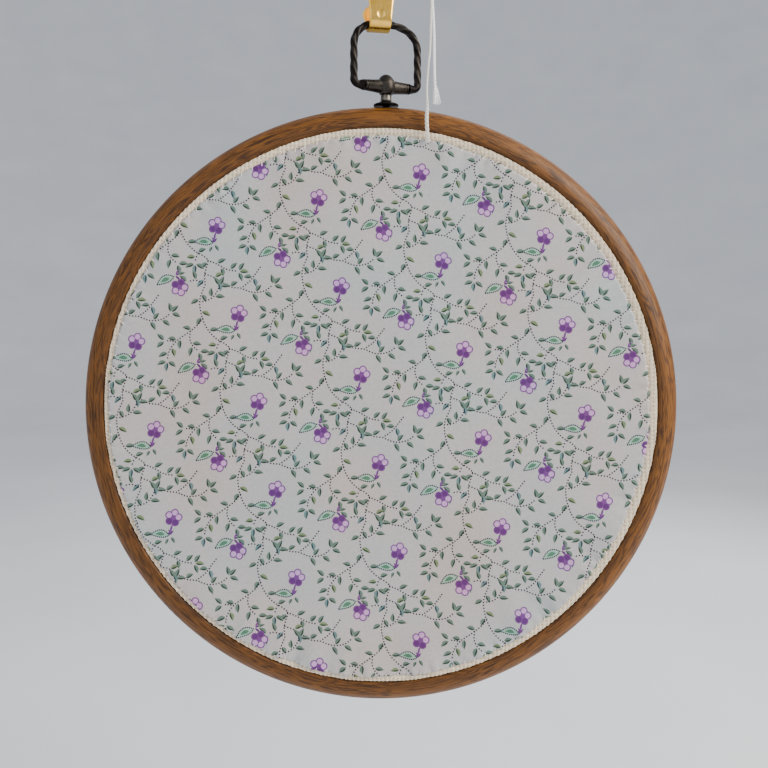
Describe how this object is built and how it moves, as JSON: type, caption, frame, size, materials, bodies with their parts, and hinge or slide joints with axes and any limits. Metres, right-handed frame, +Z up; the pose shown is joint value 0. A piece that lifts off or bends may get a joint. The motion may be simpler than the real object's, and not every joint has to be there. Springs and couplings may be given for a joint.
{
  "type": "hoop embroidery art on hanging hook",
  "caption": "Back of a round hoop embroidery: wood-grain hoop, evenweave cloth, sewn floral cotton backing, bronzed twisted bail on a brass hook, and a white thread.",
  "frame": {"origin": "on the flat back face of the hook's shank, where it is fastened to whatever holds it up", "axes": "+Z up, +X to the right seen from the printed back, which faces -Y; the hoop lies in the XZ plane"},
  "size_m": [0.1649, 0.0127, 0.2016],
  "materials": {
    "wood_grain_vinyl": "moulded vinyl with printed wood grain, satin",
    "hoop_plastic": "plain moulded",
    "evenweave": "cream evenweave cotton",
    "printed_cotton": "fine plain-weave cotton printed with small purple flowers and green leaves",
    "bronzed_metal": "dark bronzed, rubbed on its high points",
    "polished_brass": "polished strip",
    "sewing_thread": "white twisted cotton"
  },
  "bodies": {
    "root": {"outer_ring": "wood_grain_vinyl", "inner_ring": "hoop_plastic", "ground_cloth": "evenweave", "backing_cloth": "printed_cotton", "hanger_base": "bronzed_metal", "knob_barrel": "bronzed_metal", "bail": "bronzed_metal", "brass_hook": "polished_brass", "thread_strand": "sewing_thread", "thread_tail": "sewing_thread", "thread_knot": "sewing_thread"}
  },
  "joints": []
}
